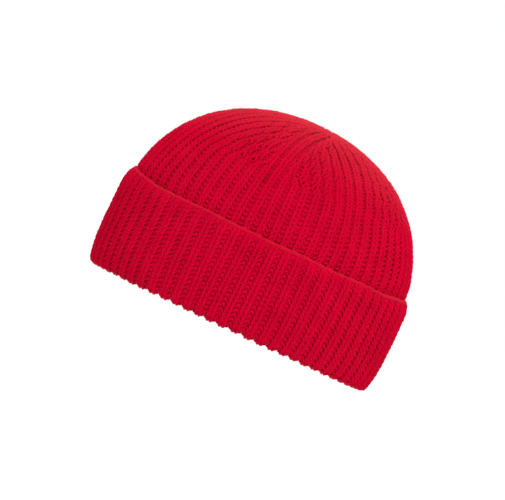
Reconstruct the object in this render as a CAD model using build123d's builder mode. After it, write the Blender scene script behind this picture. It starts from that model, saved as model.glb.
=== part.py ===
from build123d import *
from math import asin, atan2, cos, degrees, hypot, radians, sin, sqrt
import os

# A ribbed knitted beanie with a turned-up cuff, standing on its brim. Millimetres.
# X runs from the forehead (-X) to the back of the head (+X), Y across the head, Z up.
# The origin is the middle of the brim's lower face. Every wall is drawn as a section along X,
# turned about Z and narrowed along Y, which gives the oval of a head.

# Driving dimensions
HAT_HEIGHT = 147.5
CUFF_HALF_LENGTH = 105.2  # the widest place, outside the cuff
WIDTH_RATIO = 0.82  # the hat's width over its length
PLY = 4.0  # thickness of one layer of the knitting
PLY_GAP = 0.3  # between the cuff and the band inside it
CUFF_TOP = 67.0
CAST_ON_DEPTH = 5.0
FOLD_HEIGHT = 6.0
GORE_BASE = 99.0  # where the ribs start to be decreased
LEFT_SEAM_TURN = -12.0  # the first seam, in degrees round from the hat's left side
APEX = (6.0, -18.0)  # where the four gores meet, seen from above

# The cuff's section swells a little between the brim and its top edge.
BRIM_DRAW_IN = 2.0
TOP_DRAW_IN = 0.3
FOLD_ROUNDING = 3.2
FOLD_TRIM = 0.3  # sliced off under the fold, which leaves a flat rim to stand on

# The crown's section is a full shoulder that runs into a flatter top, both circular arcs.
CROWN_HALF_LENGTH = 100.7
SHOULDER_RADIUS = 79.8
TOP_RADIUS = 119.8
TOP_CENTRE = (0.0, HAT_HEIGHT - TOP_RADIUS)
SHOULDER_X = CROWN_HALF_LENGTH - SHOULDER_RADIUS
SHOULDER_RISE = sqrt((TOP_RADIUS - SHOULDER_RADIUS) ** 2 - SHOULDER_X**2)
SHOULDER_CENTRE = (SHOULDER_X, TOP_CENTRE[1] + SHOULDER_RISE)
JOIN_ANGLE = degrees(atan2(SHOULDER_RISE, SHOULDER_X))

# Seams and gather, on the inside of the hat
SEAM_WIDTH = 5.0
SEAM_THICKNESS = 2.0
CLEARANCE = 0.2
GATHER_RADIUS = 8.0
GATHER_THICKNESS = 3.0
GATHER_ROUNDING = 1.2
GATHER_CLEARANCE = 0.6

# Care label: a blank tape folded in half, sewn over the back seam inside the band
LABEL_WIDTH = 24.0
LABEL_LENGTH = 32.0
LABEL_PLY = 0.5
LABEL_FOLD = 0.8  # between the middles of the tape's two plies
LABEL_TOP = 50.0
LABEL_CLEARANCE = 0.8  # from the back seam's ridge
STITCH_LENGTH = 3.0
STITCH_THICKNESS = 0.6
STITCH_PITCH = 4.8
STITCH_COUNT = 5
STITCH_DROP = 3.0  # from the label's top edge to its stitches

BAND_INSET = PLY + PLY_GAP  # from the cuff's outer face to the band's
BACK_SEAM = 1
GORES = {
    "crown_gore_back_left": (0, 1),
    "crown_gore_back_right": (1, 2),
    "crown_gore_front_right": (2, 3),
    "crown_gore_front_left": (3, 0),
}


def cuff_point(height, inset):
    """A point of the cuff's section, `inset` inside its outer face."""
    middle = CUFF_TOP / 2
    draw_in = BRIM_DRAW_IN if height < middle else TOP_DRAW_IN
    away = (height - middle) / middle
    return (CUFF_HALF_LENGTH - inset - draw_in * away**2, height)


def cuff_line(inset, low, high):
    """The cuff's gently swelling section between two heights."""
    middle = (low + high) / 2
    return ThreePointArc(
        cuff_point(low, inset), cuff_point(middle, inset), cuff_point(high, inset)
    )


def shoulder_angle(inset, height):
    return degrees(asin((height - SHOULDER_CENTRE[1]) / (SHOULDER_RADIUS - inset)))


def shoulder_line(inset, low, high):
    """The crown's shoulder between two heights, `inset` inside its outer face."""
    start = shoulder_angle(inset, low)
    turn = shoulder_angle(inset, high) - start
    return CenterArc(SHOULDER_CENTRE, SHOULDER_RADIUS - inset, start, turn)


def crown_line(inset, low):
    """The crown's section from a height up to the axis; gives its two ends."""
    start = shoulder_angle(inset, low)
    shoulder = CenterArc(SHOULDER_CENTRE, SHOULDER_RADIUS - inset, start, JOIN_ANGLE - start)
    top = CenterArc(TOP_CENTRE, TOP_RADIUS - inset, JOIN_ANGLE, 90 - JOIN_ANGLE)
    return shoulder @ 0, top @ 1


def seam_direction(index):
    """Seen from above, the direction in which a seam leaves the apex."""
    turn = radians(LEFT_SEAM_TURN + 90 * index)
    reach = SHOULDER_X + SHOULDER_RADIUS * cos(radians(shoulder_angle(0, GORE_BASE)))
    rim_x = reach * sin(turn)
    rim_y = -reach * WIDTH_RATIO * cos(turn)
    return (rim_x - APEX[0], rim_y - APEX[1], 0)


def seam_plane(index):
    """The upright plane of a seam; its normal points towards the next gore."""
    along = seam_direction(index)
    return Plane(origin=(*APEX, 0), x_dir=along, z_dir=(-along[1], along[0], 0))


def spin():
    """Turns the pending section about the hat's axis and narrows it to an oval."""
    revolve(axis=Axis.Z)
    scale(by=(1, WIDTH_RATIO, 1))


def crown_shell(outer_inset, inner_inset, low):
    """The domed top of the hat between two insets, from a height up."""
    with BuildPart() as shell:
        with BuildSketch(Plane.XZ):
            with BuildLine():
                outer_foot, outer_apex = crown_line(outer_inset, low)
                inner_foot, inner_apex = crown_line(inner_inset, low)
                Line(outer_foot, inner_foot)
                Line(outer_apex, inner_apex)
            make_face()
        spin()
    return shell


def gore(first_seam, next_seam):
    """The quarter of the crown between two seams."""
    quarter = crown_shell(0, PLY, GORE_BASE)
    with quarter:
        split(bisect_by=seam_plane(first_seam), keep=Keep.TOP)
        split(bisect_by=seam_plane(next_seam), keep=Keep.BOTTOM)
    return quarter


def trim_to_seam(index, foot):
    """Keeps the strip over one seam, from the edge of the gather outwards."""
    along = Vector(*seam_direction(index)).normalized()
    start = Vector(*APEX, foot) + along * (GATHER_RADIUS + SEAM_THICKNESS)
    with Locations(Plane(origin=start, x_dir=along)):
        Box(
            HAT_HEIGHT,
            SEAM_WIDTH,
            HAT_HEIGHT,
            align=(Align.MIN, Align.CENTER, Align.MIN),
            mode=Mode.INTERSECT,
        )


def gore_seam(index):
    """The linked seam between two gores, a ridge on the crown's inner face."""
    depth = PLY + CLEARANCE
    ridge = crown_shell(depth, depth + SEAM_THICKNESS, GORE_BASE)
    with ridge:
        trim_to_seam(index, GORE_BASE)
    return ridge


def keep(part, name):
    """Names a finished piece and writes it."""
    part.label = name
    export_step(part, f"parts/{name}.step")


os.makedirs("parts", exist_ok=True)

# Cast-on edge: the rounded first course at the top of the cuff
with BuildPart() as cast_on_edge:
    with BuildSketch(Plane.XZ):
        with BuildLine():
            edge_base = CUFF_TOP - CAST_ON_DEPTH
            shoulder = CUFF_TOP - PLY / 2
            Line(cuff_point(edge_base, 0), cuff_point(shoulder, 0))
            ThreePointArc(
                cuff_point(shoulder, 0), cuff_point(CUFF_TOP, PLY / 2), cuff_point(shoulder, PLY)
            )
            Line(cuff_point(shoulder, PLY), cuff_point(edge_base, PLY))
            Line(cuff_point(edge_base, PLY), cuff_point(edge_base, 0))
        make_face()
    spin()
keep(cast_on_edge.part, "cast_on_edge")

# Cuff: the outer ply of the turned-up brim
with BuildPart() as cuff:
    with BuildSketch(Plane.XZ):
        with BuildLine():
            outside = cuff_line(0, FOLD_HEIGHT, edge_base)
            inside = cuff_line(PLY, FOLD_HEIGHT, edge_base)
            Line(outside @ 0, inside @ 0)
            Line(outside @ 1, inside @ 1)
        make_face()
    spin()
keep(cuff.part, "cuff")

# Brim fold: where the cuff turns back on the band, with a narrow flat lower face
with BuildPart() as brim_fold:
    fold_outside = cuff_point(FOLD_HEIGHT, 0)
    fold_inside = cuff_point(FOLD_HEIGHT, BAND_INSET + PLY)
    with BuildSketch(Plane.XZ) as fold_section:
        with BuildLine():
            Polyline(
                fold_outside,
                fold_inside,
                (fold_inside[0], -FOLD_TRIM),
                (fold_outside[0], -FOLD_TRIM),
                close=True,
            )
        make_face()
        fillet(fold_section.vertices().group_by(Axis.Y)[0], FOLD_ROUNDING)
    spin()
    split(bisect_by=Plane.XY, keep=Keep.TOP)
keep(brim_fold.part, "brim_fold")

# Inner band: the ply inside the cuff, which grips the head
with BuildPart() as inner_band:
    with BuildSketch(Plane.XZ):
        with BuildLine():
            outside = cuff_line(BAND_INSET, FOLD_HEIGHT, CUFF_TOP)
            inside = cuff_line(BAND_INSET + PLY, FOLD_HEIGHT, CUFF_TOP)
            Line(outside @ 0, inside @ 0)
            Line(outside @ 1, inside @ 1)
        make_face()
    spin()
keep(inner_band.part, "inner_band")

# Crown tube: plain ribbing above the cuff
with BuildPart() as crown_tube:
    with BuildSketch(Plane.XZ):
        with BuildLine():
            outside = shoulder_line(0, CUFF_TOP, GORE_BASE)
            inside = shoulder_line(PLY, CUFF_TOP, GORE_BASE)
            Line(outside @ 0, inside @ 0)
            Line(outside @ 1, inside @ 1)
        make_face()
    spin()
keep(crown_tube.part, "crown_tube")

# Gores: the four shaped quarters of the crown
for name, (first_seam, next_seam) in GORES.items():
    keep(gore(first_seam, next_seam).part, name)

# Gore seams: linked on the inside of the crown
keep(gore_seam(0).part, "crown_seam_left")
keep(gore_seam(2).part, "crown_seam_right")
keep(gore_seam(3).part, "crown_seam_front")

# Back seam: closes the panel into a tube, from the fold up to the gather
with BuildPart() as back_seam:
    depth = PLY + CLEARANCE
    band_depth = BAND_INSET + depth
    with BuildSketch(Plane.XZ):
        with BuildLine():
            outer_foot, outer_apex = crown_line(depth, CUFF_TOP)
            inner_foot, inner_apex = crown_line(depth + SEAM_THICKNESS, CUFF_TOP)
            Line(outer_apex, inner_apex)
            outside = cuff_line(band_depth, FOLD_HEIGHT, CUFF_TOP - CLEARANCE)
            inside = cuff_line(band_depth + SEAM_THICKNESS, FOLD_HEIGHT, CUFF_TOP - CLEARANCE)
            Line(outer_foot, outside @ 1)
            Line(inner_foot, inside @ 1)
            Line(outside @ 0, inside @ 0)
        make_face()
    spin()
    trim_to_seam(BACK_SEAM, FOLD_HEIGHT)
keep(back_seam.part, "back_seam")

# Crown gather: the drawn-up loops and their closing yarn, a flat button under the apex
gather_turn = hypot(APEX[0], APEX[1] / WIDTH_RATIO)
gather_rise = sqrt((TOP_RADIUS - PLY) ** 2 - gather_turn**2)
gather_point = Vector(*APEX, TOP_CENTRE[1] + gather_rise)
gather_down = -Vector(APEX[0], APEX[1] / WIDTH_RATIO**2, gather_rise).normalized()
with BuildPart() as crown_gather:
    with BuildSketch(Plane(origin=gather_point + gather_down * GATHER_CLEARANCE, z_dir=gather_down)):
        Circle(GATHER_RADIUS)
    extrude(amount=GATHER_THICKNESS)
    fillet(crown_gather.edges(), GATHER_ROUNDING)
keep(crown_gather.part, "crown_gather")

# Care label: it hangs from the back seam, against the inner face of the band
ridge_face = BAND_INSET + PLY + CLEARANCE + SEAM_THICKNESS
label_wall = cuff_point(LABEL_TOP, ridge_face + LABEL_CLEARANCE + LABEL_PLY / 2)[0]
back_along = Vector(*seam_direction(BACK_SEAM)).normalized()
apex_square = APEX[0] ** 2 + (APEX[1] / WIDTH_RATIO) ** 2
along_square = back_along.X**2 + (back_along.Y / WIDTH_RATIO) ** 2
cross = APEX[0] * back_along.X + APEX[1] * back_along.Y / WIDTH_RATIO**2
reach = (-cross + sqrt(cross**2 + along_square * (label_wall**2 - apex_square))) / along_square
label_place = Vector(*APEX, LABEL_TOP) + back_along * reach
inward = -Vector(label_place.X, label_place.Y / WIDTH_RATIO**2, 0).normalized()
across = Vector(inward.Y, -inward.X, 0)
with BuildPart() as care_label:
    with BuildSketch(Plane(origin=label_place, x_dir=inward, z_dir=across)):
        with BuildLine():
            Line((0, 0), (0, -LABEL_LENGTH))
            ThreePointArc(
                (0, -LABEL_LENGTH),
                (LABEL_FOLD / 2, -LABEL_LENGTH - LABEL_FOLD / 2),
                (LABEL_FOLD, -LABEL_LENGTH),
            )
            Line((LABEL_FOLD, -LABEL_LENGTH), (LABEL_FOLD, 0))
        trace(line_width=LABEL_PLY)
    extrude(amount=LABEL_WIDTH / 2, both=True)
keep(care_label.part, "care_label")

# Label stitches: the visible part of each stitch through the label's top edge
stitch_place = label_place + inward * (LABEL_FOLD + LABEL_PLY / 2) - Vector(0, 0, STITCH_DROP)
with BuildPart(Plane(origin=stitch_place, x_dir=across, z_dir=inward)) as label_stitches:
    with GridLocations(STITCH_PITCH, 0, STITCH_COUNT, 1):
        Box(
            STITCH_LENGTH,
            STITCH_THICKNESS,
            STITCH_THICKNESS,
            align=(Align.CENTER, Align.CENTER, Align.MIN),
        )
keep(label_stitches.part, "label_stitches")
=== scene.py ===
import math

import bpy
import numpy as np
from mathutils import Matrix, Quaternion, Vector


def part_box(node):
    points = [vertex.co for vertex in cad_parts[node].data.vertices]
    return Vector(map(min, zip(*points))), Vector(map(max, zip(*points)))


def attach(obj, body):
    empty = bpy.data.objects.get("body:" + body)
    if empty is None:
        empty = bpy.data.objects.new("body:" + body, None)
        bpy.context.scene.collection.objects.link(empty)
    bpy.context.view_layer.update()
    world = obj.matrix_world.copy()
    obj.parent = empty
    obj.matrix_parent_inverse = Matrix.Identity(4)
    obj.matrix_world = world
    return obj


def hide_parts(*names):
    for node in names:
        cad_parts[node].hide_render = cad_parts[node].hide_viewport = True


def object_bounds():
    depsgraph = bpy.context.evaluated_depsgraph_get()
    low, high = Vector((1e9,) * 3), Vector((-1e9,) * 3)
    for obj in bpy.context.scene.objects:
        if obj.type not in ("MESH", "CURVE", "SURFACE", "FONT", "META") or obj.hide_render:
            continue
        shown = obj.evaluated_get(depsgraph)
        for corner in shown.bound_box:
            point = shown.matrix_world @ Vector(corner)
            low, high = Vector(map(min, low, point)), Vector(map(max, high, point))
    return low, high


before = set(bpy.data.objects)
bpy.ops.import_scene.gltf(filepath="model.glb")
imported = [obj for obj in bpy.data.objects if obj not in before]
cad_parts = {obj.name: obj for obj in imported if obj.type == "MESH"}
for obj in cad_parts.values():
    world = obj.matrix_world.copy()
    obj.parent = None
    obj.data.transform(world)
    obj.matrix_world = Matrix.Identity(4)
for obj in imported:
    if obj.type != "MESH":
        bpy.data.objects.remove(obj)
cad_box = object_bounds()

# A chunky 1x1 rib beanie, knitted stitch by stitch: every course is a yarn that loops through
# the wales round the hat. A place on the fabric's middle surface is two numbers. Its way is the
# share of the way round, from the left side (-Y) towards the back. Its path is the distance
# along the fabric: it starts at the cast-on edge at the top of the cuff, runs down the cuff,
# turns at the brim, and climbs the band and the crown to the apex. All lengths are in metres.

MM = 0.001
RANDOM = np.random.default_rng(7)


# ---------------------------------------------------------------- the hat's form, from the frame

CUFF_HALF_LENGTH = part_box("cuff")[1].x
WIDTH_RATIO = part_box("cuff")[1].y / CUFF_HALF_LENGTH
CUFF_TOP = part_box("cast_on_edge")[1].z
EDGE_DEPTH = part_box("inner_band")[1].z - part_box("cuff")[1].z  # of the CAD's cast-on edge
GORE_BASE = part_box("crown_gore_front_left")[0].z
HAT_TOP = cad_box[1].z
GATHER = (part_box("crown_gather")[0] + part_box("crown_gather")[1]) / 2
APEX = (GATHER.x, GATHER.y)
LEFT_SEAM_TURN = math.radians(-12)  # the left seam lies a little towards the front

# The layers of knitting
PLY = EDGE_DEPTH - 1.0 * MM  # that edge is 1 mm deeper than a ply is thick
HALF_PLY = PLY / 2
BAND_INSET = PLY + 0.3 * MM  # from the cuff's middle surface to the band's
RIB_STAND = 0.5 * MM  # the cuff's ribs stand out past half a ply
BRIM_STAND = 0.45 * MM  # and so do the loops under the brim

# The cuff
BRIM_DRAW_IN = 2.0 * MM  # it is widest half-way up
TOP_DRAW_IN = 0.3 * MM
FOOT_ROUNDING = 3.1 * MM
FOOT_HEIGHT = 5.0 * MM
EDGE_ROLL = 3.4 * MM  # the cast-on edge rolls in to the crown
EDGE_ROLL_HEIGHT = 9.0 * MM
EDGE_TOP = CUFF_TOP - 3.0 * MM
FRONT_RISE = 6.0 * MM  # and rides up at the hat's front and back
BACK_RISE = 2.4 * MM
RISE_DEPTH = 12.0 * MM
RISE_SHARPNESS = 8

# The crown
WAIST = 0.9 * MM  # it gives way to the rolled edge
WAIST_SPREAD = 5.0 * MM
CROWN_CENTRE = HAT_TOP - 99.5 * MM
CROWN_HALF_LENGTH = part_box("crown_tube")[1].x + 1.4 * MM
SPREAD_POWER = 2.14  # its outline is a superellipse
RISE_POWER = 2.29
PULL_POWER = 1.4  # its gores are drawn over to the apex

# Knitting
GORES = 4
RIBS_PER_GORE = 16
RIBS = RIBS_PER_GORE * GORES
WALES = 2 * RIBS
APEX_WALES = 16
COURSE = 3.3 * MM
COURSES_PER_DECREASE = 4.4
FADE_COURSES = 2.2  # in which a wale narrows to nothing
SHOWN_WEIGHT = 0.6  # a narrower wale is left out
YARN_RADIUS = 1.08 * MM
TWIST_PITCH = 5.0 * MM
SIDES = 6  # round the yarn
POINTS = 12  # along the yarn, to a wale
LOOP = math.tau * np.arange(POINTS) / POINTS - math.pi  # where in a loop those points are

# The form of a loop
FACING_WIDTH = 1.15  # of an even wale, for the wales that stand out
FACING_CHANGE = 3.0 * MM  # past the brim, where the other wales begin to stand out
FACING_BLEND = 1.5 * MM
NECK = 0.24
REACH = 1.15 * COURSE
LEAST_REACH = 0.6  # of that, for a wale that is ending
FULLNESS = 0.8
RELIEF = 0.7 * MM
LOOP_DEPTH = 1.0 * MM
END_GAP = 0.3 * MM  # from the last loops to the apex

# What changes at the brim's fold, at the cast-on edge, and towards the apex
BRIM_SPREAD = 4.0 * MM
BRIM_CREST = 0.9 * MM  # relief of the wales outside the fold
BRIM_VALLEY = 2.5 * MM  # and of those inside it
BRIM_WIDENING = 0.45  # of the wales that stand out
BRIM_NECK_LOSS = 0.10
BRIM_LOOP_LOSS = 0.08
BRIM_FULLNESS_LOSS = 0.45
BRIM_DEPTH_LOSS = 0.7
BRIM_THICKENING = 0.22  # of the yarn
EDGE_SPREAD = 6.0 * MM
EDGE_RELIEF_LOSS = 0.8
EDGE_DEPTH_LOSS = 0.6
APEX_WIDENING = 0.30
APEX_RELIEF_GAIN = 1.2
APEX_DEPTH_LOSS = 0.4

# Unevenness
WIDTH_JITTER = 0.04
REACH_JITTER = 0.05
DEPTH_JITTER = 0.10 * MM
SWAY_SIZE = 0.4 * MM
PUFF_SIZE = 0.15 * MM
CLIMB_LENGTH = 60.0 * MM  # along the path, for the slant of their waves


def unit(v):
    """Vectors of length 1."""
    return v / np.maximum(np.linalg.norm(v, axis=-1, keepdims=True), 1e-12)


def bell(distance, spread):
    """1 at no distance, fading to 0 either side."""
    return np.exp(-((distance / spread) ** 2))


def cuff_radius(height, inset):
    """Half the cuff's length at some heights, less an inset."""
    middle = CUFF_TOP / 2
    draw_in = np.where(height < middle, BRIM_DRAW_IN, TOP_DRAW_IN)
    away = (height - middle) / middle
    rounding = FOOT_ROUNDING * np.exp(-height / FOOT_HEIGHT)
    return CUFF_HALF_LENGTH - inset - draw_in * away**2 - rounding


def fabric_path():
    """Half-length and height along the fabric's middle surface, from cast-on edge to apex."""
    outer_inset = HALF_PLY + RIB_STAND
    inner_inset = outer_inset + BAND_INSET
    turn_radius = BAND_INSET / 2
    fold_height = turn_radius + HALF_PLY + BRIM_STAND
    roll = np.linspace(math.pi / 2, 0, 16)[:-1]
    roll_foot = EDGE_TOP - EDGE_ROLL_HEIGHT
    down = np.linspace(roll_foot, fold_height, 60)
    sweep = np.linspace(0, math.pi, 24)[1:-1]
    fold_middle = cuff_radius(np.array(fold_height), outer_inset) - turn_radius
    up = np.linspace(fold_height, CUFF_TOP, 60)
    rise = HAT_TOP - CROWN_CENTRE
    lean_start = math.acos(((CUFF_TOP - CROWN_CENTRE) / rise) ** (RISE_POWER / 2))
    lean = np.linspace(lean_start, 0, 160)[1:]
    spread = np.sin(lean) ** (2 / SPREAD_POWER)
    lift = np.cos(lean) ** (2 / RISE_POWER)
    radius = np.concatenate(
        [
            cuff_radius(np.array(roll_foot), outer_inset) - EDGE_ROLL * (1 - np.cos(roll)),
            cuff_radius(down, outer_inset),
            fold_middle + turn_radius * np.cos(sweep),
            cuff_radius(up, inner_inset),
            (CROWN_HALF_LENGTH - HALF_PLY) * spread,
        ]
    )
    height = np.concatenate(
        [
            roll_foot + EDGE_ROLL_HEIGHT * np.sin(roll),
            down,
            fold_height - turn_radius * np.sin(sweep),
            up,
            CROWN_CENTRE + (rise - HALF_PLY) * lift,
        ]
    )
    rising = np.arange(len(radius)) > np.argmin(height)
    beside_edge = bell(height - CUFF_TOP, WAIST_SPREAD)
    radius = radius - np.where(rising, WAIST * beside_edge, 0)
    step = np.hypot(np.diff(radius), np.diff(height))
    return np.concatenate([[0], np.cumsum(step)]), radius, height


PATH, RADIUS, HEIGHT = fabric_path()
LENGTH = PATH[-1]
LOWEST = int(np.argmin(HEIGHT))
PATH_TO_BRIM = PATH[LOWEST]
RISING = slice(LOWEST, None)
PATH_TO_CROWN = np.interp(CUFF_TOP, HEIGHT[RISING], PATH[RISING])
PATH_TO_GORES = np.interp(GORE_BASE, HEIGHT[RISING], PATH[RISING])
GORE_RADIUS = np.interp(PATH_TO_GORES, PATH, RADIUS)
DOME = PATH > PATH_TO_CROWN
DOME_RADIUS = RADIUS[DOME][::-1]
DOME_HEIGHT = HEIGHT[DOME][::-1]


def oval_table():
    """The way to each angle round the oval, from the left side towards the back."""
    angle = np.linspace(0, math.tau, 721)
    rate = np.hypot(np.cos(angle), WIDTH_RATIO * np.sin(angle))
    way = np.concatenate([[0], np.cumsum((rate[1:] + rate[:-1]) / 2)])
    return way / way[-1], angle


WAY, ANGLE = oval_table()
LEFT_SEAM = np.interp(LEFT_SEAM_TURN % math.tau, ANGLE, WAY)


def surface(way, path):
    """Points of the fabric's middle surface."""
    radius = np.interp(path, PATH, RADIUS)
    height = np.interp(path, PATH, HEIGHT)
    angle = np.interp(way % 1, WAY, ANGLE)
    on_gores = path > PATH_TO_GORES
    pull = np.where(on_gores, np.clip(1 - radius / GORE_RADIUS, 0, 1) ** PULL_POWER, 0)
    x = APEX[0] * pull + radius * np.sin(angle)
    y = APEX[1] * pull - WIDTH_RATIO * radius * np.cos(angle)
    on_dome = np.interp(np.hypot(x, y / WIDTH_RATIO), DOME_RADIUS, DOME_HEIGHT)
    end_rise = np.where(np.sin(angle) < 0, FRONT_RISE, BACK_RISE)
    rise = end_rise * np.sin(angle) ** RISE_SHARPNESS * np.exp(-path / RISE_DEPTH)
    z = np.where(on_gores, on_dome, height + rise)
    return np.stack([x, y, z], -1)


def face_normal(way, path):
    """The side of the fabric that faces out on the crown, and in on the turned-up cuff."""
    beside = 1e-3
    near = 0.6 * MM
    around = surface(way + beside, path) - surface(way - beside, path)
    along = surface(way, np.minimum(path + near, LENGTH)) - surface(way, path - near)
    return unit(np.cross(around, along))


def girth(path, least_radius):
    """About the length of the way round."""
    oval_share = 0.9  # of the circle round the oval's length
    return math.tau * oval_share * np.maximum(np.interp(path, PATH, RADIUS), least_radius)


# ---------------------------------------------------------------- knitting


def waves(count, low, high, steepest):
    """A smooth random field over way and path that closes round the hat."""
    turns = RANDOM.integers(low, high, count)
    climb = RANDOM.uniform(-steepest, steepest, count)
    phase = RANDOM.uniform(0, math.tau, count)

    def field(way, path):
        total = 0
        for t, c, p in zip(turns, climb, phase):
            total = total + np.sin(math.tau * t * way + c * path / CLIMB_LENGTH + p)
        return total / math.sqrt(count)

    return field


SWAY = waves(7, 2, 12, 4)  # ribs wander a little sideways
PUFF = waves(9, 3, 20, 12)  # and stand out unevenly


def wale_weights(path):
    """Widths of a course's wales, and +1 for those that are knit on the crown's outside, or -1."""
    risen = (path - PATH_TO_GORES) / COURSE
    gore = [(1.0, -1)]  # the wale that the seam follows
    for rib in range(RIBS_PER_GORE):
        from_seam = min(rib, RIBS_PER_GORE - 1 - rib)
        last_course = COURSES_PER_DECREASE * from_seam
        weight = 1.0
        if from_seam > 0:
            weight = float(np.clip((last_course - risen) / FADE_COURSES, 0, 1))
        gore.append((weight, 1))
        if rib < RIBS_PER_GORE - 1:
            gore.append((weight if rib > 0 else 1.0, -1))
    weights = np.array(gore * GORES)
    return weights[:, 0], weights[:, 1]


def near_brim(path):
    """1 at the lowest place of the fold, fading to 0 on both sides of it."""
    return bell(path - PATH_TO_BRIM, BRIM_SPREAD)


def near_edge(path):
    """1 at the cast-on edge, fading to 0 below it."""
    return bell(path, EDGE_SPREAD)


def stitch(t, side, size, relief, loop_depth, at_brim):
    """One loop, t from -pi to pi: sideways in wale widths, along the path, off the surface."""
    across = t / math.tau + (NECK - BRIM_NECK_LOSS * at_brim) * np.sin(2 * t)
    across = across - BRIM_LOOP_LOSS * at_brim * np.sin(t)
    up = -REACH * np.cos(t) * (LEAST_REACH + (1 - LEAST_REACH) * size)
    cover = np.abs(np.cos(t / 2)) ** (FULLNESS - BRIM_FULLNESS_LOSS * at_brim)
    depth = side * size * cover * (relief - loop_depth * np.cos(2 * t))
    return across, up, depth


def course(path):
    """The yarn of one course: its points, the way out there, and which points cross the seams."""
    weight, side = wale_weights(path)
    shown = weight > SHOWN_WEIGHT
    at_brim, at_edge = near_brim(path), near_edge(path)
    closing = np.clip((path - PATH_TO_GORES) / (LENGTH - PATH_TO_GORES), 0, 1)

    # the room for each wale; hidden wales give theirs to the knit wale that follows them
    facing = math.tanh((path - PATH_TO_BRIM - FACING_CHANGE) / FACING_BLEND)
    extra = FACING_WIDTH - 1 + BRIM_WIDENING * at_brim + APEX_WIDENING * closing
    room = weight * (1 + extra * facing * side)
    edges = np.concatenate([[0], np.cumsum(room)]) / room.sum()
    edges = edges + LEFT_SEAM - room[0] / room.sum() / 2
    ends = edges[1:][shown]
    ends = np.append(ends[-1] - 1, ends)
    middle = (ends[:-1] + ends[1:]) / 2
    width = np.diff(ends)

    even = RELIEF * (1 - EDGE_RELIEF_LOSS * at_edge + APEX_RELIEF_GAIN * closing)
    brim_relief = np.where(side > 0, BRIM_VALLEY, BRIM_CREST)
    relief = even * (1 - at_brim) + brim_relief * at_brim
    loop_depth = LOOP_DEPTH * (
        1 - BRIM_DEPTH_LOSS * at_brim - EDGE_DEPTH_LOSS * at_edge - APEX_DEPTH_LOSS * closing
    )
    side, size, relief = (values[shown][:, None] for values in (side, weight, relief))
    across, up, depth = stitch(LOOP[None, :], side, size, relief, loop_depth, at_brim)

    jitter = RANDOM.normal(0, 1, (3, len(middle), 1))
    way = middle[:, None] + width[:, None] * across * (1 + WIDTH_JITTER * jitter[0])
    along = path + up * (1 + REACH_JITTER * jitter[1])
    depth = depth + DEPTH_JITTER * jitter[2] * np.cos(LOOP / 2)[None, :]
    way, along, depth = way.ravel(), along.ravel(), depth.ravel()
    way = way + SWAY_SIZE / girth(path, 1 * MM) * SWAY(way, along)
    depth = depth + PUFF_SIZE * PUFF(way, along)
    along = np.clip(along, 0, LENGTH - END_GAP)
    normal = face_normal(way, along)
    point = surface(way, along) + normal * depth[:, None]
    outward = normal if path > PATH_TO_BRIM else -normal

    seam_wales = np.arange(GORES) * (WALES // GORES)
    seams = np.searchsorted(np.flatnonzero(shown), seam_wales) * POINTS + POINTS // 2
    return point, outward, seams


def tube(point, normal, closed, radius=YARN_RADIUS, sides=SIDES):
    """A yarn along some points: vertices, quads, corner UVs, normals of the fabric, closed."""
    if closed:
        tangent = unit(np.roll(point, -1, 0) - np.roll(point, 1, 0))
    else:
        tangent = unit(np.gradient(point, axis=0))
    across = unit(np.cross(tangent, normal))
    out = np.cross(across, tangent)
    turn = math.tau * np.arange(sides) / sides
    ring = (
        np.cos(turn)[None, :, None] * out[:, None, :]
        + np.sin(turn)[None, :, None] * across[:, None, :]
    )
    vertices = (point[:, None, :] + radius * ring).reshape(-1, 3)
    count = len(point)
    links = count if closed else count - 1
    i = np.arange(links)[:, None]
    j = np.arange(sides)[None, :]
    i2, j2 = (i + 1) % count, (j + 1) % sides
    quads = np.stack([i * sides + j, i2 * sides + j, i2 * sides + j2, i * sides + j2], -1)
    following = np.roll(point, -1, 0) if closed else point[1:]
    step = np.linalg.norm(following - point[:links], axis=1)
    way = np.concatenate([[0], np.cumsum(step)]) / TWIST_PITCH
    if closed:
        way = way * max(1, round(way[-1])) / way[-1]
    u0 = np.broadcast_to(way[:-1][:, None], (links, sides))
    u1 = np.broadcast_to(way[1:][:, None], (links, sides))
    v0 = np.broadcast_to(j / sides, (links, sides))
    v1 = v0 + 1 / sides
    uv = np.stack([u0, v0, u1, v0, u1, v1, u0, v1], -1).reshape(-1, 4, 2)
    return vertices, quads.reshape(-1, 4), uv, np.repeat(normal, sides, axis=0), closed


def add(name, data):
    """A new object in the scene."""
    made = bpy.data.objects.new(name, data)
    bpy.context.scene.collection.objects.link(made)
    return made


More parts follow.
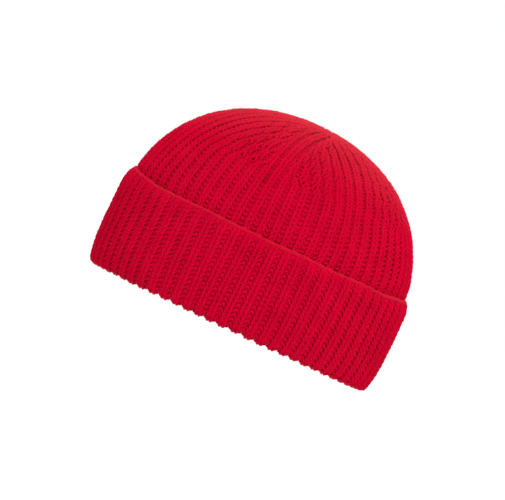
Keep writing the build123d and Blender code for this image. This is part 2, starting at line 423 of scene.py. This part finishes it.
def yarn_mesh(name, yarns, sides=SIDES):
    """One mesh of many yarns; open yarns get a flat end."""
    vertices, faces, uvs, sizes, normals = [], [], [], [], []
    base = 0
    for v, q, uv, normal, closed in yarns:
        vertices.append(v)
        normals.append(normal)
        faces.append((q + base).ravel())
        uvs.append(uv.reshape(-1, 2))
        sizes.append(np.full(len(q), 4))
        if not closed:
            first = base + np.arange(sides)
            last = base + len(v) - sides + np.arange(sides)
            faces.append(np.concatenate([first[::-1], last]))
            uvs.append(np.zeros((2 * sides, 2)))
            sizes.append(np.full(2, sides))
        base += len(v)
    vertices = np.concatenate(vertices)
    faces = np.concatenate(faces)
    sizes = np.concatenate(sizes)
    mesh = bpy.data.meshes.new(name)
    mesh.vertices.add(len(vertices))
    mesh.vertices.foreach_set("co", vertices.astype(np.float32).ravel())
    mesh.loops.add(len(faces))
    mesh.loops.foreach_set("vertex_index", faces.astype(np.int32))
    mesh.polygons.add(len(sizes))
    starts = np.concatenate([[0], np.cumsum(sizes)[:-1]]).astype(np.int32)
    mesh.polygons.foreach_set("loop_start", starts)
    mesh.polygons.foreach_set("use_smooth", np.ones(len(sizes), bool))
    layer = mesh.uv_layers.new(name="yarn")
    layer.data.foreach_set("uv", np.concatenate(uvs).astype(np.float32).ravel())
    fabric = mesh.attributes.new("fabric", "FLOAT_VECTOR", "POINT")
    fabric.data.foreach_set("vector", np.concatenate(normals).astype(np.float32).ravel())
    mesh.update(calc_edges=True)
    mesh.validate()
    return add(name, mesh)


def sheet_mesh(name, points, wrap=False):
    """A sheet from a grid of points, with metres as UVs; wrap closes it to a tube."""
    rows, columns = points.shape[:2]
    i = np.arange(rows - 1)[:, None]
    j = np.arange(columns if wrap else columns - 1)[None, :]
    k = (j + 1) % columns
    quads = np.stack(
        [i * columns + j, i * columns + k, (i + 1) * columns + k, (i + 1) * columns + j], -1
    )
    mesh = bpy.data.meshes.new(name)
    mesh.from_pydata(points.reshape(-1, 3).tolist(), [], quads.reshape(-1, 4).tolist())
    mesh.polygons.foreach_set("use_smooth", np.ones(len(mesh.polygons), bool))
    step = np.linalg.norm(np.diff(points[0], axis=0), axis=1).mean()
    rise = np.linalg.norm(np.diff(points[:, 0], axis=0), axis=1).mean()
    u = np.stack(np.broadcast_arrays(j, j + 1, j + 1, j), -1) * step
    v = np.stack(np.broadcast_arrays(i, i, i + 1, i + 1), -1) * rise
    uv = np.stack(np.broadcast_arrays(u, v), -1)
    layer = mesh.uv_layers.new(name="tape")
    layer.data.foreach_set("uv", uv.astype(np.float32).ravel())
    return add(name, mesh)


# ---------------------------------------------------------------- materials


def feed(socket, source):
    """Link another node's output to a socket, or give the socket a value."""
    if isinstance(source, bpy.types.NodeSocket):
        socket.id_data.links.new(source, socket)
    else:
        socket.default_value = source


def put(made, **settings):
    """Feed the sockets of a node that are named, and set its properties; _ is for a space."""
    for key, value in settings.items():
        socket = made.inputs.get(key.replace("_", " "))
        if socket is None:
            setattr(made, key, value)
        else:
            feed(socket, value)
    return made


def node(tree, kind, output, **settings):
    """The named output of a new node."""
    return put(tree.nodes.new("ShaderNode" + kind), **settings).outputs[output]


def maths(tree, operation, *sources):
    """The result of a sum."""
    made = put(tree.nodes.new("ShaderNodeMath"), operation=operation)
    for socket, source in zip(made.inputs, sources):
        feed(socket, source)
    return made.outputs[0]


def blend(tree, share, first, second):
    """A mix of two colours, by the numbers that a colour mix gives its sockets."""
    made = put(tree.nodes.new("ShaderNodeMix"), data_type="RGBA")
    for number, source in ((0, share), (6, first), (7, second)):
        feed(made.inputs[number], source)
    return made.outputs[2]


def new_material(name):
    """A material, its node tree and its shader."""
    material = bpy.data.materials.new(name)
    material.use_nodes = True
    return material, material.node_tree, material.node_tree.nodes["Principled BSDF"]


def yarn_material(name, deep, bright, painted_sheen=None):
    """Fuzzy two-ply yarn: twisted plies, loose fibres and uneven dye. Where the fabric lies flat,
    facing up, and is seen edge-on, a lighter, more orange colour is painted in: a painted sheen,
    as if light from above caught the fuzz."""
    material, tree, shader = new_material(name)
    place = node(tree, "TexCoord", "Object")
    patches = node(tree, "TexNoise", "Fac", Vector=place, Scale=55.0, Detail=3.0)
    fibres = node(tree, "TexNoise", "Fac", Vector=place, Scale=1400.0, Detail=3.0, Roughness=0.7)
    dye = maths(tree, "MULTIPLY_ADD", patches, 0.5, fibres)
    dye = node(tree, "MapRange", "Result", Value=dye, From_Min=0.45, From_Max=1.05)
    dyed = blend(tree, dye, (*deep, 1), (*bright, 1))

    # painted sheen: the colour turns lighter and more orange where the fabric faces up and is seen
    # edge-on, standing for light from above on the fuzz
    outward = node(tree, "Attribute", "Vector", attribute_name="fabric")
    upward = node(tree, "SeparateXYZ", "Z", Vector=outward)
    flat = node(tree, "MapRange", "Result", Value=upward, From_Min=0.55)
    edge_on = node(tree, "LayerWeight", "Facing", Normal=outward, Blend=0.3)
    with_painted_sheen = blend(tree, maths(tree, "MULTIPLY", flat, edge_on), dyed, (*(painted_sheen or bright), 1))

    where = node(tree, "UVMap", "UV", uv_map="yarn")
    along = node(tree, "SeparateXYZ", "X", Vector=where)
    around = node(tree, "SeparateXYZ", "Y", Vector=where)
    turns = maths(tree, "ADD", along, around)
    plies = maths(tree, "SINE", maths(tree, "MULTIPLY", turns, 2 * math.tau))
    twisted = node(tree, "Bump", "Normal", Height=plies, Strength=0.45, Distance=0.35 * MM)
    fuzzy = node(
        tree, "Bump", "Normal", Height=fibres, Normal=twisted, Strength=0.6, Distance=0.3 * MM
    )
    put(shader, Base_Color=with_painted_sheen, Normal=fuzzy, Roughness=0.88, Specular_IOR_Level=0.0)
    put(shader, Sheen_Weight=0.08, Sheen_Roughness=0.3, Sheen_Tint=(1.0, 0.30, 0.22, 1))
    return material


# painted sheen: the lighter, more orange colour painted where the fabric faces up and is seen
# edge-on
RED_PAINTED_SHEEN = (0.54, 0.034, 0.050)
YARN = yarn_material("red_yarn", (0.42, 0.0004, 0.018), (0.62, 0.0012, 0.030), RED_PAINTED_SHEEN)
# painted shade: darker than the yarn, for the sheet between the loops, where the holes of the
# knitting are in shade
SHADE_SHEET = yarn_material("red_painted_shade_sheet", (0.20, 0.0003, 0.010), (0.29, 0.0006, 0.015))
# stray fibres: their own red, made lighter and more orange than the yarn as a painted highlight of
# fibres catching the light, with the painted sheen besides
STRAY = yarn_material("red_stray_fibre", (0.54, 0.002, 0.028), (0.72, 0.014, 0.038), RED_PAINTED_SHEEN)
LINKING = yarn_material("red_linking_yarn", (0.36, 0.0006, 0.016), (0.52, 0.0012, 0.026))


def tape_material():
    """Blank off-white satin tape: a fine weave across and along, a little creased and uneven."""
    material, tree, shader = new_material("satin_tape")
    where = node(tree, "UVMap", "UV", uv_map="tape")
    weft = node(tree, "TexWave", "Fac", Vector=where, Scale=900.0, bands_direction="Y")
    warp = node(tree, "TexWave", "Fac", Vector=where, Scale=1400.0, bands_direction="X")
    shade = node(tree, "TexNoise", "Fac", Vector=where, Scale=160.0, Detail=4.0)
    colour = blend(tree, shade, (0.66, 0.63, 0.57, 1), (0.82, 0.80, 0.74, 1))
    gloss = node(tree, "MapRange", "Result", Value=warp, To_Min=0.32, To_Max=0.52)
    ridged = node(tree, "Bump", "Normal", Height=weft, Strength=0.4, Distance=0.05 * MM)
    woven = node(
        tree, "Bump", "Normal", Height=warp, Normal=ridged, Strength=0.3, Distance=0.03 * MM
    )
    put(shader, Base_Color=colour, Normal=woven, Roughness=gloss, Sheen_Weight=0.15)
    return material


TAPE = tape_material()
THREAD = yarn_material("off_white_thread", (0.60, 0.57, 0.50), (0.78, 0.75, 0.68))


def finish_piece(piece, slot, *nodes, material=YARN):
    piece.data.materials.append(material)
    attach(piece, "root")
    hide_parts(*nodes)


# ---------------------------------------------------------------- the pieces


def courses_between(start, end):
    """The courses that lie between two places on the path, and the yarn's radius in each."""
    first = math.ceil(start / COURSE - 0.5)
    last = math.ceil(end / COURSE - 0.5)
    for path in (np.arange(first, last) + 0.5) * COURSE:
        yield *course(path), YARN_RADIUS * (1 + BRIM_THICKENING * near_brim(path))


def closed_piece(name, start, end, slot, *nodes):
    courses = courses_between(start, end)
    yarns = [tube(point, outward, True, radius) for point, outward, _, radius in courses]
    finish_piece(yarn_mesh(name, yarns), slot, *nodes)


CUFF_SPLIT = 8.5 * COURSE  # the cuff's courses are two pieces
FOLD_REACH = 1.6 * COURSE  # either side of the brim
FOLD_START = PATH_TO_BRIM - FOLD_REACH
FOLD_END = PATH_TO_BRIM + FOLD_REACH
closed_piece("cuff_upper_courses", 0, CUFF_SPLIT, "cuff_knit", "cuff")
closed_piece("cuff_lower_courses", CUFF_SPLIT, FOLD_START, "cuff_knit", "cuff")
closed_piece("brim_fold_courses", FOLD_START, FOLD_END, "cuff_knit", "brim_fold")
closed_piece("inner_band_courses", FOLD_END, PATH_TO_CROWN, "body_knit", "inner_band")
closed_piece("crown_tube_courses", PATH_TO_CROWN, PATH_TO_GORES, "body_knit", "crown_tube")

GORE_NODES = (
    "crown_gore_back_left",
    "crown_gore_back_right",
    "crown_gore_front_right",
    "crown_gore_front_left",
)
GORES_END = LENGTH - 0.8 * COURSE


def crown_gores():
    """The four gores: every course is cut where it crosses the seams."""
    yarns = {name: [] for name in GORE_NODES}
    for point, outward, seams, _ in courses_between(PATH_TO_GORES, GORES_END):
        for name, start, end in zip(GORE_NODES, seams, [*seams[1:], seams[0] + len(point)]):
            span = np.arange(start, end + 1) % len(point)
            yarns[name].append(tube(point[span], outward[span], False))
    for name in GORE_NODES:
        finish_piece(yarn_mesh(name + "_courses", yarns[name]), "body_knit", name)


crown_gores()

CAST_ON_PATH = 0.25 * COURSE
CAST_ON_RADIUS = 1.05 * MM  # of a strand
CAST_ON_COIL = 0.70 * MM  # from the edge's middle to a strand's
CAST_ON_WANDER = 0.4 * MM
CAST_ON_LOOSENESS = 0.9  # radians


def cast_on_edge():
    """Two strands laid round each other along the top of the cuff, a turn to each wale."""
    points = 10 * WALES
    way = np.arange(points) / points
    path = np.full_like(way, CAST_ON_PATH)
    normal = face_normal(way, path)
    along = unit(surface(way, path + MM) - surface(way, path - 0.5 * MM))
    wander = CAST_ON_WANDER * np.stack([SWAY(way, path), PUFF(way, path)], -1)
    centre = surface(way, path) + wander[:, :1] * normal + wander[:, 1:] * along
    loose = CAST_ON_LOOSENESS * PUFF(way, path + 20 * MM)
    yarns = []
    for phase in (0, math.pi):
        turn = math.tau * WALES * way + phase + loose
        coil = CAST_ON_COIL * (np.cos(turn)[:, None] * normal + np.sin(turn)[:, None] * along)
        yarns.append(tube(centre + coil, -normal, True, CAST_ON_RADIUS))
    finish_piece(yarn_mesh("cast_on_strands", yarns), "cuff_knit", "cast_on_edge")


cast_on_edge()

PANEL_WAVE = 0.4 * MM  # the sheet follows the ribs, up to the gores
PANEL_BRIM_WAVE = 1.2 * MM  # and more deeply in the fold
PANEL_FOLD_REACH = 6.0 * MM


def painted_shade_sheet():
    """A dark sheet at mid-thickness that closes the knitting between its loops: painted shade,
    standing for the shade seen through the gaps between the loops.
    """
    way = np.arange(8 * RIBS)[None, :] / (8 * RIBS)
    fold_start = PATH_TO_BRIM - PANEL_FOLD_REACH
    fold_end = PATH_TO_BRIM + PANEL_FOLD_REACH
    path = np.concatenate(
        [
            np.linspace(0.5 * COURSE, fold_start, 34),
            np.linspace(fold_start, fold_end, 18)[1:-1],
            np.linspace(fold_end, LENGTH - 1.5 * MM, 110),
        ]
    )[:, None]
    wave = np.where(path < PATH_TO_GORES, PANEL_WAVE, 0) + PANEL_BRIM_WAVE * near_brim(path)
    depth = -wave * np.cos(math.tau * RIBS * (way - LEFT_SEAM))
    points = surface(way, path) + face_normal(way, path) * depth[..., None]
    piece = sheet_mesh("painted_shade_sheet", points, wrap=True)
    finish_piece(piece, "body_knit", material=SHADE_SHEET)


painted_shade_sheet()


# ---------------------------------------------------------------- inside the hat

SEAM_DEPTH = 3.4 * MM  # under the fabric's middle surface
SEAM_PITCH = 6.0 * MM
SEAM_RADIUS = 0.62 * MM  # of a yarn
SEAM_SWAY = 1.5 * MM
SEAM_LIFT = 0.55 * MM
SEAM_START = PATH_TO_GORES + 1.0 * MM
BACK_SEAM_START = PATH_TO_BRIM + 7.0 * MM
SEAM_END = LENGTH - 9.0 * MM


def linked_seam(name, quarter, start, *nodes):
    """Three yarns plaited along the inside of a seam, some quarters round from the left one."""
    turns = round((SEAM_END - start) / SEAM_PITCH)
    path = np.linspace(start, SEAM_END, turns * 16)
    way = np.full_like(path, LEFT_SEAM + quarter / GORES)
    normal = face_normal(way, path)
    centre = surface(way, path) - SEAM_DEPTH * normal
    across = unit(np.cross(normal, np.gradient(centre, axis=0)))
    yarns = []
    for strand in range(3):
        turn = math.tau * (turns * np.linspace(0, 1, len(path)) + strand / 3)
        sway = SEAM_SWAY * np.sin(turn)[:, None] * across
        lift = SEAM_LIFT * np.sin(2 * turn)[:, None] * normal
        yarns.append(tube(centre + sway + lift, normal, False, SEAM_RADIUS))
    finish_piece(yarn_mesh(name, yarns), "linking_yarn", *nodes, material=LINKING)


linked_seam("crown_seam_left_linking", 0, SEAM_START, "crown_seam_left")
linked_seam("crown_seam_right_linking", 2, SEAM_START, "crown_seam_right")
linked_seam("crown_seam_front_linking", 3, SEAM_START, "crown_seam_front")
linked_seam("back_seam_linking", 1, BACK_SEAM_START, "back_seam")


def dome_axis():
    """The way up from the dome over the apex."""
    near = 2 * MM

    def rise(x, y):
        return np.interp(math.hypot(x, y / WIDTH_RATIO), DOME_RADIUS, DOME_HEIGHT)

    slope_x = (rise(APEX[0] + near, APEX[1]) - rise(APEX[0] - near, APEX[1])) / (2 * near)
    slope_y = (rise(APEX[0], APEX[1] + near) - rise(APEX[0], APEX[1] - near)) / (2 * near)
    return unit(np.array([-slope_x, -slope_y, 1.0]))


RING_RADIUS = 5.0 * MM
RING_REACH = 1.9 * MM  # of its loops
RING_LIFT = 0.8 * MM
RING_YARN = 0.85 * MM  # radius of the yarn
TIE_RADIUS = 3.9 * MM
TIE_WOBBLE = 0.3 * MM
TIE_DROP = 0.6 * MM
TIE_YARN = 0.7 * MM


def gather():
    """The last loops drawn shut: a ring of loops round the closing yarn and its wound end."""
    up = dome_axis()
    across = unit(np.cross(up, np.array([0.0, 1.0, 0.0])))
    beside = np.cross(up, across)
    centre = np.array(GATHER)

    def place(angle, radius, height):
        flat = np.cos(angle)[:, None] * across + np.sin(angle)[:, None] * beside
        return centre + radius[:, None] * flat + height[:, None] * up

    loops = np.arange(APEX_WALES)[:, None]
    share = (loops + LOOP / math.tau + NECK * np.sin(2 * LOOP)).ravel() / APEX_WALES
    reach = RING_RADIUS + RING_REACH * np.tile(np.cos(LOOP), APEX_WALES)
    lift = -RING_LIFT * np.tile(np.cos(2 * LOOP), APEX_WALES)
    ring = place(math.tau * share, reach, lift)
    circle = np.linspace(0, math.tau, 49)[:-1]
    wobble = TIE_WOBBLE * np.sin(5 * circle)
    tie = place(circle, TIE_RADIUS + wobble, -TIE_DROP + 0 * circle)
    turn = np.linspace(0, 2.5 * math.tau, 60)
    wound = place(turn, np.linspace(2.7, 0.5, 60) * MM, np.linspace(-0.9, -0.3, 60) * MM)
    face = np.broadcast_to(up, ring.shape)
    yarns = [
        tube(ring, face, True, RING_YARN),
        tube(tie, face[: len(tie)], True, TIE_YARN),
        tube(wound, face[: len(wound)], False, TIE_YARN),
    ]
    piece = yarn_mesh("crown_gather_loops", yarns)
    finish_piece(piece, "linking_yarn", "crown_gather", material=LINKING)


gather()

LABEL_WIDTH = 24.0 * MM
LABEL_LENGTH = 32.0 * MM
LABEL_FOLD = 0.8 * MM  # between the middles of its two plies
LABEL_THICKNESS = 0.3 * MM  # of one ply
LABEL_LEAN = 1.4 * MM  # of its free end, off the wall
LABEL_CURL = 0.5 * MM
LABEL_RIPPLE = 0.12 * MM
LABEL_LOW, LABEL_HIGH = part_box("care_label")


def label_frame():
    """The label's top middle, the way into the hat, and the way along the label's width."""
    middle = (LABEL_LOW + LABEL_HIGH) / 2
    inward = unit(-np.array([middle.x, middle.y / WIDTH_RATIO**2, 0.0]))
    across = np.array([inward[1], -inward[0], 0.0])
    top = np.array([middle.x, middle.y, LABEL_HIGH.z]) - inward * LABEL_FOLD / 2
    return top, inward, across


def care_label():
    """A blank tape folded in half; its free end stands a little off the wall and curls."""
    top, inward, across = label_frame()
    ply = np.linspace(0, LABEL_LENGTH, 33)
    bend = np.linspace(0, math.pi, 9)[1:-1]
    off = np.concatenate([0 * ply, LABEL_FOLD / 2 * (1 - np.cos(bend)), LABEL_FOLD + 0 * ply])
    down = np.concatenate([ply, LABEL_LENGTH + LABEL_FOLD / 2 * np.sin(bend), ply[::-1]])
    side = np.linspace(-0.5, 0.5, 25)
    fall = (down / LABEL_LENGTH)[:, None]
    lean = LABEL_LEAN * fall**2 + LABEL_CURL * fall * (2 * side[None, :]) ** 2
    ripple = LABEL_RIPPLE * fall * np.sin(9 * side[None, :] + 5 * fall)
    points = (
        top
        + (off[:, None] + lean + ripple)[..., None] * inward
        + (LABEL_WIDTH * side)[None, :, None] * across
        - down[:, None, None] * np.array([0, 0, 1.0])
    )
    piece = sheet_mesh("care_label_tape", points)
    tape = piece.modifiers.new("thickness", "SOLIDIFY")
    tape.thickness = LABEL_THICKNESS
    tape.offset = 0
    finish_piece(piece, "label_tape", "care_label", material=TAPE)


care_label()

STITCHES = 5
STITCH_PITCH = 4.8 * MM
STITCH_DROP = 3.0 * MM  # below the label's top edge
STITCH_HALF_LENGTH = 1.5 * MM
STITCH_RISE = 0.45 * MM
THREAD_RADIUS = 0.28 * MM


def label_thread():
    """Stitches through the label's top edge, each an arch of thread between two holes."""
    top, inward, across = label_frame()
    face = LABEL_FOLD + LABEL_THICKNESS / 2
    centre = top + inward * face - np.array([0, 0, STITCH_DROP])
    arch = np.linspace(0, math.pi, 11)[:, None]
    yarns = []
    for number in range(STITCHES):
        middle = centre + (number - STITCHES // 2) * STITCH_PITCH * across
        along = STITCH_HALF_LENGTH * np.cos(arch) * across
        point = middle - along + STITCH_RISE * np.sin(arch) * inward
        yarns.append(tube(point, np.broadcast_to(inward, point.shape), False, THREAD_RADIUS))
    piece = yarn_mesh("label_thread_stitches", yarns)
    finish_piece(piece, "label_thread", "label_stitches", material=THREAD)


label_thread()


# ---------------------------------------------------------------- stray fibres

FIBRES = 3600
EDGE_FIBRES = 350  # of those, along the cast-on edge
FIBRE_RADIUS = 0.04 * MM
FIBRE_SIDES = 3
CROWDING = 0.45  # puts the fibres that would lie on the hidden band on the cuff instead


def stray_fibres():
    """Short fibres that stand off the outside of the yarn, thickest along the cast-on edge."""
    way = RANDOM.uniform(0, 1, FIBRES)
    path = RANDOM.uniform(0.5 * COURSE, LENGTH - 8 * MM, FIBRES)
    path[:EDGE_FIBRES] = RANDOM.uniform(0.1 * MM, 0.9 * COURSE, EDGE_FIBRES)
    hidden = (path > PATH_TO_BRIM + 3 * MM) & (path < PATH_TO_CROWN)
    path = np.where(hidden, path * CROWDING, path)
    heading = RANDOM.uniform(0, math.tau, FIBRES)
    length = RANDOM.uniform(2.0 * MM, 5.5 * MM, FIBRES)
    curl = RANDOM.normal(0, 0.9, FIBRES)
    base = RANDOM.uniform(1.2 * MM, 2.3 * MM, FIBRES) * (1 - 0.5 * near_edge(path))
    lift = RANDOM.uniform(0.1 * MM, 1.1 * MM, FIBRES)
    share = np.linspace(0, 1, 5)[None, :]
    turn = heading[:, None] + curl[:, None] * share
    run = length[:, None] * share
    ways = way[:, None] + run * np.cos(turn) / girth(path, 8 * MM)[:, None]
    paths = np.clip(path[:, None] + run * np.sin(turn), 0.2 * MM, LENGTH - 2 * MM)
    side = np.where(path < PATH_TO_BRIM, -1.0, 1.0)[:, None, None]
    outward = side * face_normal(ways, paths)
    stand = base[:, None] + lift[:, None] * np.sin(math.pi * 0.8 * share)
    points = surface(ways, paths) + outward * stand[..., None]
    fibres = [tube(p, o, False, FIBRE_RADIUS, FIBRE_SIDES) for p, o in zip(points, outward)]
    piece = yarn_mesh("stray_fibres", fibres, FIBRE_SIDES)
    finish_piece(piece, "body_knit", material=STRAY)


stray_fibres()


# ---------------------------------------------------------------- floor, light and camera


def light_table():
    """A floor that shines white."""
    bpy.ops.mesh.primitive_plane_add(size=60)
    floor = bpy.context.object
    floor.name = "floor"
    material, _, shader = new_material("light_table")
    put(shader, Base_Color=(0, 0, 0, 1), Roughness=1.0)
    put(shader, Emission_Color=(1, 1, 1, 1), Emission_Strength=1.0)
    floor.data.materials.append(material)


light_table()


def studio():
    """A white room that is dimmer overhead, where the key light hangs."""
    world = bpy.data.worlds.new("studio")
    bpy.context.scene.world = world
    world.use_nodes = True
    tree = world.node_tree
    direction = node(tree, "TexCoord", "Generated")
    upward = node(tree, "SeparateXYZ", "Z", Vector=direction)
    heights = {"From_Min": 0.35, "From_Max": 0.9}
    strength = node(tree, "MapRange", "Result", Value=upward, To_Min=1.0, To_Max=0.45, **heights)
    put(tree.nodes["Background"], Color=(1, 1, 1, 1), Strength=strength)


studio()


def sun(name, energy, spread, heading):
    """A sun lamp: how many degrees wide its disc is, and which way its light runs."""
    light = bpy.data.lights.new(name, "SUN")
    light.energy = energy
    light.angle = math.radians(spread)
    add(name, light).rotation_euler = Vector(heading).to_track_quat("-Z", "Y").to_euler()


sun("key", 2.1, 30, (-0.20, 0.85, -1.05))
sun("rim", 2.0, 25, (0.10, -0.75, -0.95))

CAMERA_LEAN = math.radians(25.5)  # a roll of the camera, which shows the hat leaning right
CAMERA_RISE = math.radians(0.3)
CAMERA_DISTANCE = 3.0
CAMERA_AIM = Vector((-0.0062, 0, 0.0540))
CAMERA_LENS = 320.8  # millimetres
lens = bpy.data.cameras.new("camera")
lens.lens = CAMERA_LENS
lens.clip_start = 0.05
camera = add("camera", lens)
towards_camera = Vector((0, -math.cos(CAMERA_RISE), math.sin(CAMERA_RISE)))
camera.location = CAMERA_AIM + towards_camera * CAMERA_DISTANCE
camera.rotation_mode = "QUATERNION"
level = (-towards_camera).to_track_quat("-Z", "Y")
camera.rotation_quaternion = level @ Quaternion((0, 0, 1), CAMERA_LEAN)
bpy.context.scene.camera = camera
bpy.context.scene.view_settings.view_transform = "Standard"
